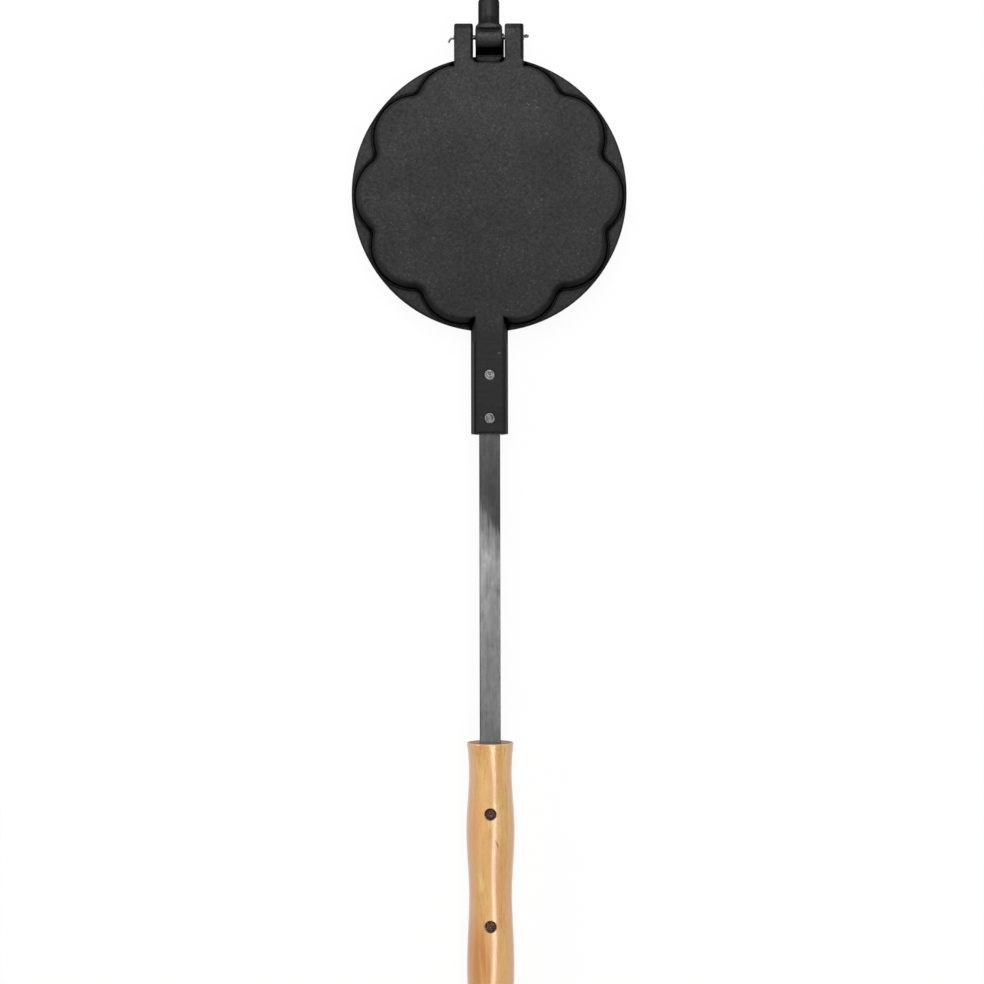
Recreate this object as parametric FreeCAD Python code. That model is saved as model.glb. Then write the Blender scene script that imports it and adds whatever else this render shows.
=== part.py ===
import FreeCAD, Part
import math
import os

from FreeCAD import Vector

# A long-handled campfire waffle iron, lying closed and flat.
# Millimetres. The origin is the centre of the lower half's outer face, which is the face it rests on.
# +Y runs towards the hinge, +Z up. The two halves meet at the parting plane, at z = half_thickness.
# Each half is built in its own frame: z is the height from the parting plane outwards.
# The lower half is then the same frame turned over about Y.

# Driving dimensions of the whole iron
half_thickness = 17.5
rim_gap = 0.3
overrun = 2.0
sink = 1.0
match_tolerance = 0.05

# Round plate with its ten-lobed plateau, which follows five hearts with their points at the centre
disc_radius = 97.0
flange_thickness = 5.0
flange_edge_radius = 1.0
rim_edge_radius = 0.4
pad_margin = 0.8
pad_tip_step = 1.6
pad_notch_step = 0.4
pad_notch_radius = 3.0
pad_height = 1.0
pad_edge_radius = 0.6
cleft_depth = 10.4
seam_depth = 7.6
notch_radius = 6.0
wall_draft = 3.1
plateau_edge_radius = 1.6
heart_count = 5
pad_tip_radius = disc_radius - pad_margin
lobe_tip_radius = pad_tip_radius - pad_tip_step
cleft_radius = lobe_tip_radius - cleft_depth
seam_radius = lobe_tip_radius - seam_depth
pad_cleft_radius = cleft_radius + pad_notch_step
pad_seam_radius = seam_radius + pad_notch_step

# Baking hollow inside each half
floor_thickness = 6.0
cavity_wall = 8.0
cavity_draft = 2.0
cavity_corner_radius = 1.5
stud_height = 7.5
stud_top = 4.6
stud_base = 7.2
stud_pitch = 11.5
first_stud_row = 22.0
stud_margin = 1.2
stud_rows = round(disc_radius / stud_pitch)
rib_top = 1.8
rib_base = 3.4
hub_radius = 4.5

# Hinge: two ears on the upper half, one knuckle on the lower half
hinge_offset = 14.0
hinge_radius = 7.0
slot_width = 22.3
slot_inset = 6.2
slot_corner_radius = 3.4
ear_width = 13.25
ear_root_depth = 20.8
ear_heel_gap = 1.4
ear_reach = 7.8
ear_end_slope = 4.0
ear_end_drop = 5.9
ear_end_radius = 2.0
ear_edge_radius = 1.4
knuckle_side_gap = 1.6
arm_left_gap = 1.65
arm_right_gap = 0.45
arm_root_depth = 14.8
arm_depth = 2.2
arm_gap_start = 2.0
arm_gap_slope = 0.7
arm_gap_depth = 6.5
arm_gap_rise = 1.5
arm_shoulder_gap = 0.5
arm_shoulder_radius = 5.0
barrel_edge_radius = 1.0
hinge_y = disc_radius + hinge_offset
slot_floor_y = disc_radius - slot_inset
ear_span = slot_width + 2 * ear_width
ear_root_y = slot_floor_y - ear_root_depth
ear_heel_y = disc_radius + ear_heel_gap
knuckle_width = slot_width - 2 * knuckle_side_gap
arm_left = slot_width / 2 - arm_left_gap
arm_right = slot_width / 2 - arm_right_gap
arm_root_y = slot_floor_y - arm_root_depth
arm_shoulder_y = disc_radius + arm_shoulder_gap
arm_gap_y = disc_radius + arm_gap_start

# Support stub, cast on the lower half beyond the hinge
stub_radius = 7.5
stub_reach = 29.9
stub_end_radius = 6.0
collar_side_gap = 1.75
collar_flat_rise = 0.4
collar_offset = 5.6
collar_width = 2.0
collar_cone_length = 2.4
stub_end_y = hinge_y + stub_reach
collar_radius = slot_width / 2 - collar_side_gap
collar_start_y = hinge_y + collar_offset
collar_edge_y = collar_start_y + collar_width
collar_end_y = collar_edge_y + collar_cone_length

# Split pin of the hinge
pin_radius = 1.6
pin_clearance = 0.08
pin_head_gap = 0.5
pin_leg_length = 1.6
pin_leg_inset = 0.15
pin_leg_gap = 0.1
pin_bend_radius = 2.4
pin_bend_angle = 68.0
pin_leg_turns = (90.0, 125.0)
pin_eye_radius = 1.4
pin_eye_wire = 0.75
pin_eye_offset = 0.9
pin_eye_tilt = 32.0
pin_leg_radius = (pin_radius - pin_leg_inset - pin_leg_gap / 2) / 2
pin_leg_offset = pin_leg_radius + pin_leg_gap / 2

# Channel bracket of each half, and the flat bar in it
bar_width = 14.8
bar_thickness = 4.0
bar_edge_radius = 0.7
bar_start_gap = 4.0
bare_bar_length = 217.6
channel_clearance = 0.25
channel_start_gap = 0.5
bracket_wall = 2.15
bracket_lean = 3.3
bracket_web = 6.5
bracket_reach = 72.6
bracket_foot_gap = 0.8
bracket_web_end = 0.9
bracket_edge_radius = 0.8
bracket_root_radius = 3.2
bracket_face_width = bar_width + 2 * channel_clearance + 2 * bracket_wall
bracket_foot_width = bracket_face_width + 2 * bracket_lean
bracket_root_y = seam_radius - cavity_wall - sink
bracket_end_y = disc_radius + bracket_reach
bar_height = half_thickness - bracket_web - bar_thickness
bar_start_y = disc_radius + bar_start_gap

# Rivets through bracket and bar
bracket_rivet_end_gap = 10.8
bracket_rivet_spacing = 30.4
bracket_rivet_radius = 3.0
bracket_rivet_face_radius = 3.75
bracket_rivet_cone = 1.6
bracket_rivet_recess = 0.1
bracket_rivet_head_radius = 5.0
bracket_rivet_head = 2.4
rivet_clearance = 0.05
rear_bracket_rivet_y = bracket_end_y - bracket_rivet_end_gap
bracket_rivet_y = (rear_bracket_rivet_y - bracket_rivet_spacing, rear_bracket_rivet_y)

# Half-round wooden grip: radius along its length, measured from its hinge end
grip_length = 191.0
grip_tail_wood = 26.2
grip_flat_gap = 0.4
grip_end_radius = 9.0
grip_edge_radius = 1.2
grip_neck_radius = 16.7
grip_waist_radius = 15.1
grip_belly_radius = 17.05
grip_second_waist_radius = 15.2
grip_second_belly_radius = 16.6
grip_tail_radius = 15.0
grip_place_shares = (0.118, 0.309, 0.55, 0.767)
mortise_clearance = 0.1
grip_start_y = bracket_end_y + bare_bar_length
bar_end_y = grip_start_y + grip_length - grip_tail_wood

# Rivets through grip and bar, sunk in counterbores
grip_rivet_inset = 49.1
grip_rivet_end_gap = 36.8
grip_rivet_radius = 2.5
grip_rivet_head_radius = 3.6
grip_rivet_head = 1.7
grip_bore_radius = 4.2
grip_rivet_seat = 1.9
grip_flat_bore_depth = 2.5
grip_bore_floor = bar_height + bar_thickness + grip_rivet_seat
grip_rivet_y = (grip_start_y + grip_rivet_inset, bar_end_y - grip_rivet_end_gap)

parts_folder = "parts"
origin = Vector(0, 0, 0)
along_x = Vector(1, 0, 0)
along_y = Vector(0, 1, 0)
along_z = Vector(0, 0, 1)


def polar(radius, angle, level=0):
    """A point at an angle in degrees from +Y, turning towards +X."""
    turned = math.radians(angle)
    return Vector(radius * math.sin(turned), radius * math.cos(turned), level)


def arc(start, middle, end):
    return Part.Arc(start, middle, end).toShape()


def polygon(points):
    return Part.Wire(Part.makePolygon(list(points) + [points[0]]).Edges)


def box(low, high):
    size = high - low
    return Part.makeBox(size.x, size.y, size.z, low)


def edges_at(shape, test):
    """The edges whose every end and middle point passes the test."""
    found = []
    for edge in shape.Edges:
        middle = edge.valueAt((edge.FirstParameter + edge.LastParameter) / 2)
        points = [vertex.Point for vertex in edge.Vertexes] + [middle]
        if all(test(point) for point in points):
            found.append(edge)
    return found


def near(value, target):
    return abs(value - target) < match_tolerance


def lobed_wire(tip, cleft, seam, notch, inset, level):
    """Ten lobes in tangent arcs, with a deep notch at each heart's cleft and a shallow one between hearts."""
    tip, cleft, seam, notch = tip - inset, cleft - inset, seam - inset, notch + inset
    step = 180 / heart_count
    alpha = math.radians(step)
    reach = tip + notch
    cleft_centre = cleft + notch
    seam_centre = seam + notch
    cleft_power = reach ** 2 - cleft_centre ** 2
    seam_power = reach ** 2 - seam_centre ** 2
    across = cleft_power * seam_centre * math.cos(alpha) - seam_power * cleft_centre
    up = cleft_power * seam_centre * math.sin(alpha)
    turn = math.acos((cleft_power - seam_power) * reach / math.hypot(across, up))
    phi = math.atan2(up, across) - turn
    lobe_centre = cleft_power / (2 * (reach - cleft_centre * math.cos(phi)))
    lobe_radius = tip - lobe_centre
    lobe_angle = math.degrees(phi)

    def touch(angle, notch_angle, notch_centre):
        centre = polar(lobe_centre, angle, level)
        towards = polar(notch_centre, notch_angle, level) - centre
        return centre + towards * (lobe_radius / towards.Length)

    edges = []
    for heart in range(heart_count):
        middle = 2 * step * heart
        left, right = middle - lobe_angle, middle + lobe_angle
        next_left = middle + 2 * step - lobe_angle
        cleft_in = touch(left, middle, cleft_centre)
        cleft_out = touch(right, middle, cleft_centre)
        seam_in = touch(right, middle + step, seam_centre)
        seam_out = touch(next_left, middle + step, seam_centre)
        next_cleft = touch(next_left, middle + 2 * step, cleft_centre)
        edges.append(arc(cleft_in, polar(cleft, middle, level), cleft_out))
        edges.append(arc(cleft_out, polar(tip, right, level), seam_in))
        edges.append(arc(seam_in, polar(seam, middle + step, level), seam_out))
        edges.append(arc(seam_out, polar(tip, next_left, level), next_cleft))
    return Part.Wire(edges)


def wall_outline(inset, level):
    return lobed_wire(lobe_tip_radius, cleft_radius, seam_radius, notch_radius, inset, level)


def pad_outline(level):
    return lobed_wire(pad_tip_radius, pad_cleft_radius, pad_seam_radius, pad_notch_radius, 0, level)


def flange():
    disc = Part.makeCylinder(disc_radius, flange_thickness - rim_gap / 2, Vector(0, 0, rim_gap / 2))
    outer = edges_at(disc, lambda point: near(point.z, flange_thickness))
    inner = edges_at(disc, lambda point: near(point.z, rim_gap / 2))
    return disc.makeFillet(flange_edge_radius, outer).makeFillet(rim_edge_radius, inner)


def pad():
    """The low lobed step that the plateau's wall stands on."""
    top = flange_thickness + pad_height
    solid = Part.Face(pad_outline(flange_thickness - sink)).extrude(Vector(0, 0, pad_height + sink))
    return solid.makeFillet(pad_edge_radius, edges_at(solid, lambda point: near(point.z, top)))


def plateau():
    """The lobed plateau: a drafted wall and a flat outer face with a rounded edge."""
    foot = wall_outline(0, flange_thickness - sink)
    face = wall_outline(wall_draft, half_thickness)
    solid = Part.makeLoft([foot, face], True, True)
    rounded = edges_at(solid, lambda point: near(point.z, half_thickness))
    return solid.makeFillet(plateau_edge_radius, rounded)


def cavity():
    """The baking hollow, open at the parting plane."""
    floor = half_thickness - floor_thickness
    slope = cavity_draft / floor
    mouth = wall_outline(cavity_wall - slope * overrun, -overrun)
    bottom = wall_outline(cavity_wall + cavity_draft, floor)
    solid = Part.makeLoft([mouth, bottom], True, True)
    return solid.makeFillet(cavity_corner_radius, edges_at(solid, lambda point: near(point.z, floor)))


def square_wire(side, level):
    half = side / 2
    corners = ((-half, -half), (half, -half), (half, half), (-half, half))
    return polygon([Vector(x, y, level) for x, y in corners])


def stud():
    """One tapered stud, standing from the floor of the hollow towards the parting plane."""
    floor = half_thickness - floor_thickness
    top = square_wire(stud_top, floor - stud_height)
    base = square_wire(stud_base, floor + sink)
    return Part.makeLoft([top, base], True, True)


def stud_places():
    """Places of the studs of one heart, in a square grid about the heart's own axis."""
    wall = Part.Face(wall_outline(cavity_wall + cavity_draft, 0))
    side = math.radians(180 / heart_count)
    reach = stud_base * math.sqrt(2) / 2 + stud_margin
    places = []
    for row in range(stud_rows):
        y = first_stud_row + row * stud_pitch
        for column in range(-stud_rows, stud_rows + 1):
            x = column * stud_pitch
            clear_of_ribs = y * math.sin(side) - abs(x) * math.cos(side) > reach + rib_base / 2 - stud_margin
            inside = wall.isInside(Vector(x, y, 0), sink, True)
            outline_gap = wall.OuterWire.distToShape(Part.Vertex(x, y, 0))[0]
            if clear_of_ribs and inside and outline_gap > reach:
                places.append(Vector(x, y, 0))
    return places


def studs():
    model = stud()
    made = []
    for heart in range(heart_count):
        for place in stud_places():
            one = model.copy()
            one.translate(place)
            one.rotate(origin, along_z, 360 / heart_count * heart)
            made.append(one)
    return made


def ribs():
    """The ribs between the hearts, which meet in a small hub at the centre."""
    floor = half_thickness - floor_thickness
    crest = floor - stud_height
    length = seam_radius - cavity_wall + sink
    outline = (
        Vector(-rib_base / 2, 0, floor + sink),
        Vector(rib_base / 2, 0, floor + sink),
        Vector(rib_top / 2, 0, crest),
        Vector(-rib_top / 2, 0, crest),
    )
    made = [Part.makeCone(hub_radius, hub_radius + sink, stud_height + sink, Vector(0, 0, crest))]
    for seam in range(heart_count):
        rib = Part.Face(polygon(outline)).extrude(Vector(0, length, 0))
        rib.rotate(origin, along_z, 180 / heart_count + 360 / heart_count * seam)
        made.append(rib)
    return made


def bracket_half_width(level):
    """Half of the bracket's width at a height: its sides lean in towards the outer face."""
    lean = (bracket_foot_width - bracket_face_width) / 2 / (half_thickness - bracket_foot_gap)
    return bracket_foot_width / 2 - lean * (level - bracket_foot_gap)


def bracket_block():
    """The solid of the handle bracket, before its channel is cut."""
    section = (
        Vector(-bracket_half_width(bracket_foot_gap), -bracket_root_y, bracket_foot_gap),
        Vector(bracket_half_width(bracket_foot_gap), -bracket_root_y, bracket_foot_gap),
        Vector(bracket_half_width(half_thickness), -bracket_root_y, half_thickness),
        Vector(-bracket_half_width(half_thickness), -bracket_root_y, half_thickness),
    )
    block = Part.Face(polygon(section)).extrude(Vector(0, bracket_root_y - bracket_end_y, 0))
    corner_edges = edges_at(block, lambda point: near(point.y, -bracket_end_y))
    long_edges = [
        edge
        for edge in edges_at(block, lambda point: near(point.z, half_thickness))
        if near(abs(edge.CenterOfMass.x), bracket_half_width(half_thickness))
    ]
    end_edges = [edge for edge in corner_edges if not near(edge.CenterOfMass.z, bracket_foot_gap)]
    return block.makeFillet(bracket_edge_radius, long_edges + end_edges)


def bracket_root_fillet(side):
    """The rounded corner between the bracket's side and the plateau's wall."""
    wires = []
    foot = flange_thickness - sink
    for level in (foot, half_thickness - plateau_edge_radius / 2):
        x = side * (bracket_half_width(level) - sink)
        outer_x = side * (bracket_half_width(level) + bracket_root_radius)
        face_x = side * bracket_half_width(level)
        wall_y = -seam_radius + wall_draft * (level - foot) / (half_thickness - foot)
        foot_y = wall_y - bracket_root_radius
        centre = Vector(outer_x, foot_y, level)
        bulge = bracket_root_radius / math.sqrt(2)
        inner = Vector(x, wall_y + sink, level)
        start = Vector(x, foot_y, level)
        curve_start = Vector(face_x, foot_y, level)
        curve_middle = centre + Vector(-side * bulge, bulge, 0)
        curve_end = Vector(outer_x, wall_y, level)
        top = Vector(outer_x, wall_y + sink, level)
        edges = [
            Part.makeLine(inner, start),
            Part.makeLine(start, curve_start),
            arc(curve_start, curve_middle, curve_end),
            Part.makeLine(curve_end, top),
            Part.makeLine(top, inner),
        ]
        wires.append(Part.Wire(edges))
    return Part.makeLoft(wires, True, True)


def bar_channel():
    """The channel that holds the bar, open at the parting plane and at the bracket's end."""
    half = bar_width / 2 + channel_clearance
    start = bar_start_y - channel_start_gap
    low = Vector(-half, -bracket_end_y - overrun, -overrun)
    high = Vector(half, -start, bar_height + bar_thickness)
    web_low = Vector(-half, -bracket_end_y - overrun, 0)
    web_high = Vector(half, -bracket_end_y + bracket_web_end, half_thickness + overrun)
    return box(low, high).fuse(box(web_low, web_high))


def bracket_rivet(y, clearance):
    """A rivet of the bracket: head under the bar, shank, and a flush peened end in a countersink."""
    face = half_thickness - bracket_rivet_recess
    shank = bracket_rivet_radius + clearance
    wide = bracket_rivet_face_radius + clearance
    under = bar_height
    stem = Part.makeCylinder(shank, face - under, Vector(0, -y, under))
    cone = Part.makeCone(shank, wide, bracket_rivet_cone, Vector(0, -y, face - bracket_rivet_cone))
    return stem.fuse(cone).removeSplitter()


def bracket_rivet_with_head(y):
    head = Part.makeCylinder(
        bracket_rivet_head_radius, bracket_rivet_head, Vector(0, -y, bar_height - bracket_rivet_head)
    )
    lower = edges_at(head, lambda point: near(point.z, bar_height - bracket_rivet_head))
    head = head.makeFillet(bracket_rivet_head / 2, lower)
    return bracket_rivet(y, 0).fuse(head).removeSplitter()


def bracket_rivet_hole(y):
    hole = bracket_rivet(y, rivet_clearance)
    top = half_thickness - bracket_rivet_recess
    lid = Part.makeCylinder(
        bracket_rivet_face_radius + rivet_clearance, overrun, Vector(0, -y, top)
    )
    stem = Part.makeCylinder(
        bracket_rivet_radius + rivet_clearance, half_thickness, Vector(0, -y, 0)
    )
    return hole.fuse([lid, stem])


def casting(hinge_side):
    """One casting: plate, plateau, bracket, one side of the hinge, and the studded hollow."""
    solid = flange().fuse([pad(), plateau(), bracket_block(), hinge_side])
    solid = solid.fuse([bracket_root_fillet(-1), bracket_root_fillet(1)])
    solid = solid.cut(cavity())
    solid = solid.fuse(studs() + ribs())
    cuts = [bar_channel()] + [bracket_rivet_hole(y) for y in bracket_rivet_y]
    return solid.cut(cuts).removeSplitter()


def pin_hole():
    half = ear_span / 2 + overrun
    return Part.makeCylinder(pin_radius + pin_clearance, 2 * half, Vector(-half, hinge_y, 0), along_x)


def ears():
    """The two hinge ears on one root block, rounded about the pin."""
    heel = Vector(0, ear_heel_y, rim_gap / 2)
    centre = Vector(0, hinge_y, 0)
    away = heel - centre
    lean = math.atan2(away.z, away.y) + math.acos(ear_reach / away.Length)
    touch = centre + Vector(0, math.cos(lean), math.sin(lean)) * ear_reach
    end = centre + Vector(0, ear_reach, 0)
    turn = centre + Vector(0, 1, -1) * (ear_reach / math.sqrt(2))
    slope_foot = Vector(0, hinge_y + ear_reach, half_thickness - ear_end_drop)
    slope_top = Vector(0, hinge_y + ear_reach - ear_end_slope, half_thickness)
    root_top = Vector(0, ear_root_y, half_thickness)
    root = Vector(0, ear_root_y, rim_gap / 2)
    edges = [
        Part.makeLine(root, heel),
        Part.makeLine(heel, touch),
        arc(touch, turn, end),
        Part.makeLine(end, slope_foot),
        Part.makeLine(slope_foot, slope_top),
        Part.makeLine(slope_top, root_top),
        Part.makeLine(root_top, root),
    ]
    block = Part.Face(Part.Wire(edges)).extrude(Vector(ear_span, 0, 0))
    block.translate(Vector(-ear_span / 2, 0, 0))
    bends = []
    for bend in (slope_foot, slope_top):
        bends += edges_at(block, lambda point: near(point.y, bend.y) and near(point.z, bend.z))
    block = block.makeFillet(ear_end_radius, bends).cut(ear_slot())

    def side_edges(x, start_y):
        return edges_at(
            block,
            lambda point: near(abs(point.x), x) and point.z > -match_tolerance and point.y > start_y,
        )

    def top_edges(low, high):
        return edges_at(block, lambda point: near(point.z, half_thickness) and low < abs(point.x) < high)

    rounded = side_edges(ear_span / 2, ear_root_y) + side_edges(slot_width / 2, hinge_y)
    rounded += top_edges(-match_tolerance, slot_width / 2 + match_tolerance)
    rounded += top_edges(ear_span / 2 - match_tolerance, ear_span / 2 + match_tolerance)
    return block.makeFillet(ear_edge_radius, rounded).cut(pin_hole())


def ear_slot():
    """The gap between the ears, with rounded corners at its floor."""
    low = Vector(-slot_width / 2, slot_floor_y, -half_thickness)
    high = Vector(slot_width / 2, hinge_y + hinge_radius + overrun, half_thickness + overrun)
    slot = box(low, high)
    corners = edges_at(slot, lambda point: near(point.y, slot_floor_y) and near(abs(point.x), slot_width / 2))
    return slot.makeFillet(slot_corner_radius, corners)


def upper_plate():
    return casting(ears())


def knuckle():
    """The knuckle's arm and barrel, and the support stub with its collar."""
    shoulder = Vector(0, arm_shoulder_y, half_thickness)
    centre = Vector(0, hinge_y, 0)
    away = shoulder - centre
    lean = math.atan2(away.z, away.y) - math.acos(hinge_radius / away.Length)
    touch = centre + Vector(0, math.cos(lean), math.sin(lean)) * hinge_radius
    points = (
        Vector(0, arm_root_y, half_thickness),
        shoulder,
        touch,
        centre,
        Vector(0, hinge_y - hinge_radius / 2, arm_gap_depth - arm_gap_rise),
        Vector(0, arm_gap_y + arm_gap_slope, arm_gap_depth),
        Vector(0, arm_gap_y, arm_depth),
        Vector(0, arm_root_y, arm_depth),
    )
    arm = Part.Face(polygon(points)).extrude(Vector(arm_left + arm_right, 0, 0))
    arm.translate(Vector(-arm_right, 0, 0))
    bend = edges_at(arm, lambda point: near(point.z, half_thickness) and near(point.y, arm_shoulder_y))
    arm = arm.makeFillet(arm_shoulder_radius, bend)
    barrel = Part.makeCylinder(
        hinge_radius, knuckle_width, Vector(-knuckle_width / 2, hinge_y, 0), along_x
    )
    ends = edges_at(barrel, lambda point: near(abs(point.x), knuckle_width / 2))
    barrel = barrel.makeFillet(barrel_edge_radius, ends)
    collar = Part.makeCylinder(
        collar_radius, collar_edge_y - collar_start_y, Vector(0, collar_start_y, 0), along_y
    )
    cone = Part.makeCone(
        collar_radius, stub_radius, collar_end_y - collar_edge_y, Vector(0, collar_edge_y, 0), along_y
    )
    flat = stub_radius + collar_flat_rise
    low = Vector(-collar_radius, collar_start_y, -flat)
    high = Vector(collar_radius, collar_end_y, flat)
    collar = collar.fuse(cone).common(box(low, high))
    stub = Part.makeCylinder(
        stub_radius, stub_end_y - collar_start_y, Vector(0, collar_start_y, 0), along_y
    )
    tip = edges_at(stub, lambda point: near(point.y, stub_end_y))
    stub = stub.makeFillet(stub_end_radius, tip)
    return barrel.fuse([arm, collar, stub]).cut(pin_hole())


def lower_plate():
    return casting(knuckle())


def bar():
    low = Vector(-bar_width / 2, -bar_end_y, bar_height)
    high = Vector(bar_width / 2, -bar_start_y, bar_height + bar_thickness)
    solid = box(low, high)
    long_edges = [edge for edge in solid.Edges if edge.Length > bar_width + bar_thickness]
    solid = solid.makeFillet(bar_edge_radius, long_edges)
    through = bar_thickness + 2 * overrun
    below = bar_height - overrun
    holes = [
        Part.makeCylinder(bracket_rivet_radius + rivet_clearance, through, Vector(0, -y, below))
        for y in bracket_rivet_y
    ]
    holes += [
        Part.makeCylinder(grip_rivet_radius + rivet_clearance, through, Vector(0, -y, below))
        for y in grip_rivet_y
    ]
    return solid.cut(holes)


def grip_profile():
    """Half of the turned outline, from the hinge end to the tail."""
    radii = (
        grip_neck_radius,
        grip_waist_radius,
        grip_belly_radius,
        grip_second_waist_radius,
        grip_second_belly_radius,
        grip_tail_radius,
    )
    shares = (0,) + grip_place_shares + (1,)
    points = [
        Vector(0, -grip_start_y - share * grip_length, radius) for share, radius in zip(shares, radii)
    ]
    start = Vector(0, -grip_start_y, 0)
    end = Vector(0, -grip_start_y - grip_length, 0)
    curve = Part.BSplineCurve()
    curve.interpolate(points)
    return [
        Part.makeLine(start, points[0]),
        curve.toShape(),
        Part.makeLine(points[-1], end),
        Part.makeLine(end, start),
    ]


def grip():
    """A half-round grip, turned and split, with a mortise for the bar and counterbores for the rivets."""
    profile = Part.Face(Part.Wire(grip_profile()))
    profile.rotate(origin, along_y, -90)
    solid = profile.revolve(origin, along_y, 180)

    def round_edge(y, radius):
        return edges_at(
            solid, lambda point: near(point.y, y) and near(math.hypot(point.x, point.z), radius)
        )

    rim = round_edge(-grip_start_y, grip_neck_radius)
    tail = round_edge(-grip_start_y - grip_length, grip_tail_radius)
    solid = solid.makeFillet(grip_edge_radius, rim).makeFillet(grip_end_radius, tail)
    solid.translate(Vector(0, 0, grip_flat_gap))
    half = bar_width / 2 + mortise_clearance
    low = Vector(-half, -bar_end_y - mortise_clearance, bar_height - mortise_clearance)
    high = Vector(half, -grip_start_y + overrun, bar_height + bar_thickness + mortise_clearance)
    cuts = [box(low, high)]
    for y in grip_rivet_y:
        hole = Part.makeCylinder(grip_rivet_radius + rivet_clearance, grip_bore_floor, Vector(0, -y, 0))
        sunk = Part.makeCylinder(grip_bore_radius, grip_belly_radius, Vector(0, -y, grip_bore_floor))
        flat = Part.makeCylinder(grip_bore_radius, grip_flat_bore_depth + grip_flat_gap, Vector(0, -y, 0))
        cuts += [hole, sunk, flat]
    return solid.cut(cuts)


def grip_rivet(y):
    """A rivet of the grip: a shank with a head at each end, both sunk in the wood."""
    low = grip_flat_gap + grip_flat_bore_depth
    shank = Part.makeCylinder(grip_rivet_radius, grip_bore_floor - low, Vector(0, -y, low))
    top = Part.makeCylinder(grip_rivet_head_radius, grip_rivet_head, Vector(0, -y, grip_bore_floor))
    top_edge = edges_at(top, lambda point: near(point.z, grip_bore_floor + grip_rivet_head))
    top = top.makeFillet(grip_rivet_head / 2, top_edge)
    foot = Part.makeCylinder(grip_rivet_head_radius, grip_rivet_head, Vector(0, -y, low - grip_rivet_head))
    foot_edge = edges_at(foot, lambda point: near(point.z, low - grip_rivet_head))
    foot = foot.makeFillet(grip_rivet_head / 2, foot_edge)
    return shank.fuse([top, foot]).removeSplitter()


def pin_leg(turn):
    """One of the pin's two bent legs, turned about the pin by an angle."""
    start = Vector(-ear_span / 2 + overrun, 0, pin_leg_offset)
    bend_start = Vector(-ear_span / 2 - pin_head_gap - pin_leg_radius, 0, pin_leg_offset)
    angle = math.radians(pin_bend_angle)
    bend_centre = bend_start + Vector(0, 0, pin_bend_radius)

    def on_bend(share):
        swept = angle * share
        return bend_centre + Vector(-math.sin(swept), 0, -math.cos(swept)) * pin_bend_radius

    end = on_bend(1) + Vector(-math.cos(angle), 0, math.sin(angle)) * pin_leg_length
    path = Part.Wire([
        Part.makeLine(start, bend_start),
        arc(bend_start, on_bend(0.5), on_bend(1)),
        Part.makeLine(on_bend(1), end),
    ])
    section = Part.Wire(Part.makeCircle(pin_leg_radius, start, along_x))
    leg = path.makePipeShell([section], True, True)
    leg.rotate(origin, along_x, turn)
    return leg


def split_pin():
    """The hinge's split pin: shank, eye at one end and two bent legs at the other."""
    half = ear_span / 2 + pin_head_gap
    shank = Part.makeCylinder(pin_radius, 2 * half, Vector(-half, 0, 0), along_x)
    eye = Part.makeTorus(pin_eye_radius, pin_eye_wire, origin, along_y)
    eye.rotate(origin, along_x, pin_eye_tilt)
    eye.translate(Vector(half + pin_eye_radius, pin_eye_offset, 0))
    pin = shank.fuse(eye)
    for turn in pin_leg_turns:
        pin = pin.fuse(pin_leg(turn))
    pin.translate(Vector(0, hinge_y, 0))
    return pin.removeSplitter()


def place_upper(shape):
    placed = shape.copy()
    placed.translate(Vector(0, 0, half_thickness))
    return placed


def place_lower(shape):
    placed = shape.copy()
    placed.rotate(origin, along_y, 180)
    placed.translate(Vector(0, 0, half_thickness))
    return placed


def build():
    """Every piece of the iron under its node name."""
    pieces = {
        "upper_plate": place_upper(upper_plate()),
        "lower_plate": place_lower(lower_plate()),
        "hinge_split_pin": place_upper(split_pin()),
    }
    half_pieces = {"handle_bar": bar(), "grip": grip()}
    for name, y in zip(("front", "rear"), bracket_rivet_y):
        half_pieces[f"bracket_rivet_{name}"] = bracket_rivet_with_head(y)
    for name, y in zip(("front", "rear"), grip_rivet_y):
        half_pieces[f"grip_rivet_{name}"] = grip_rivet(y)
    for name, shape in half_pieces.items():
        pieces[f"upper_{name}"] = place_upper(shape)
        pieces[f"lower_{name}"] = place_lower(shape)
    return pieces


def main():
    os.makedirs(parts_folder, exist_ok=True)
    for name, shape in build().items():
        solids = shape.Solids
        print(name, "solids", len(solids), "valid", shape.isValid(), "volume", round(shape.Volume))
        solid = solids[0] if len(solids) == 1 else Part.makeCompound(solids)
        solid.exportStep(os.path.join(parts_folder, name + ".step"))


main()
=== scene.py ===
import math

import bmesh
import bpy
import numpy as np
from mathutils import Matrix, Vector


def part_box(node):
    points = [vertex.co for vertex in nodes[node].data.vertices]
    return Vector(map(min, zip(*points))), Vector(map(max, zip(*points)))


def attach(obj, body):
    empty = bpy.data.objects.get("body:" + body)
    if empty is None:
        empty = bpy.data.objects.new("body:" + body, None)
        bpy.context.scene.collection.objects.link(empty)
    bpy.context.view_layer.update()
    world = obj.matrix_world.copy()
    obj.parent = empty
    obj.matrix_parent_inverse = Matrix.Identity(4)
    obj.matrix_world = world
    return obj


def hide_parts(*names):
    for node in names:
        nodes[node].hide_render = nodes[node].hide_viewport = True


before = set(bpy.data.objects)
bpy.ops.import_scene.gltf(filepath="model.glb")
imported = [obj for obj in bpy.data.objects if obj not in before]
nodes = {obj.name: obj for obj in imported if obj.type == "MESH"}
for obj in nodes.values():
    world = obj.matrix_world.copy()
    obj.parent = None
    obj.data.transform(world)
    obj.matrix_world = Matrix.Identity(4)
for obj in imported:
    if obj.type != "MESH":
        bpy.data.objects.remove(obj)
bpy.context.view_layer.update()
scene = bpy.context.scene
print("frame: %d cast, steel and wooden pieces" % len(nodes))


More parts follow.
